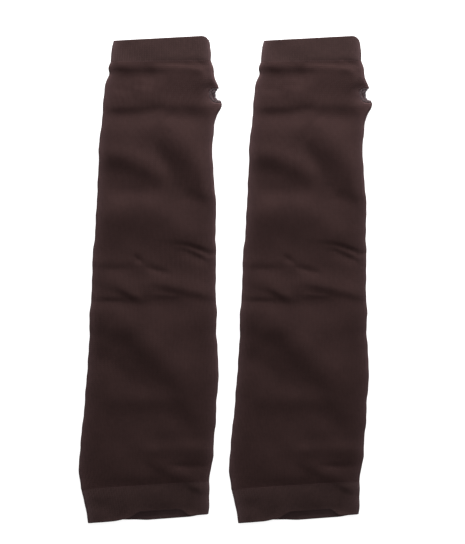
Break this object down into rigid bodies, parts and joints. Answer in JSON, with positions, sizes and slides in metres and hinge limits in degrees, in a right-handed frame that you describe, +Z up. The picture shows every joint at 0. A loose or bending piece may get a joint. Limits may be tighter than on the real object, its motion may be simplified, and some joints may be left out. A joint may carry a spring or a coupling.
{
  "type": "pair of knitted arm warmers",
  "caption": "Long tapered fingerless sleeves of dark knit with folded rib welts and a thumb opening, laid flat side by side.",
  "frame": {"origin": "middle of the pair, on the surface that it lies on", "axes": "+X to the right across the pair, +Y along the warmers towards the hand end, +Z up from the surface"},
  "size_m": [0.2414, 0.3999, 0.007],
  "materials": {
    "stockinette_knit": "fine dark brown circular knit, matt with a soft sheen",
    "rib_welt_knit": "fine dark brown rib, folded double, matt",
    "overlocked_edge": "dark brown overlocked yarn edge, matt"
  },
  "bodies": {
    "root": {"left_body": "stockinette_knit", "left_hand_cuff": "rib_welt_knit", "left_arm_cuff": "rib_welt_knit", "left_thumb_edge": "overlocked_edge", "right_body": "stockinette_knit", "right_hand_cuff": "rib_welt_knit", "right_arm_cuff": "rib_welt_knit", "right_thumb_edge": "overlocked_edge"}
  },
  "joints": []
}
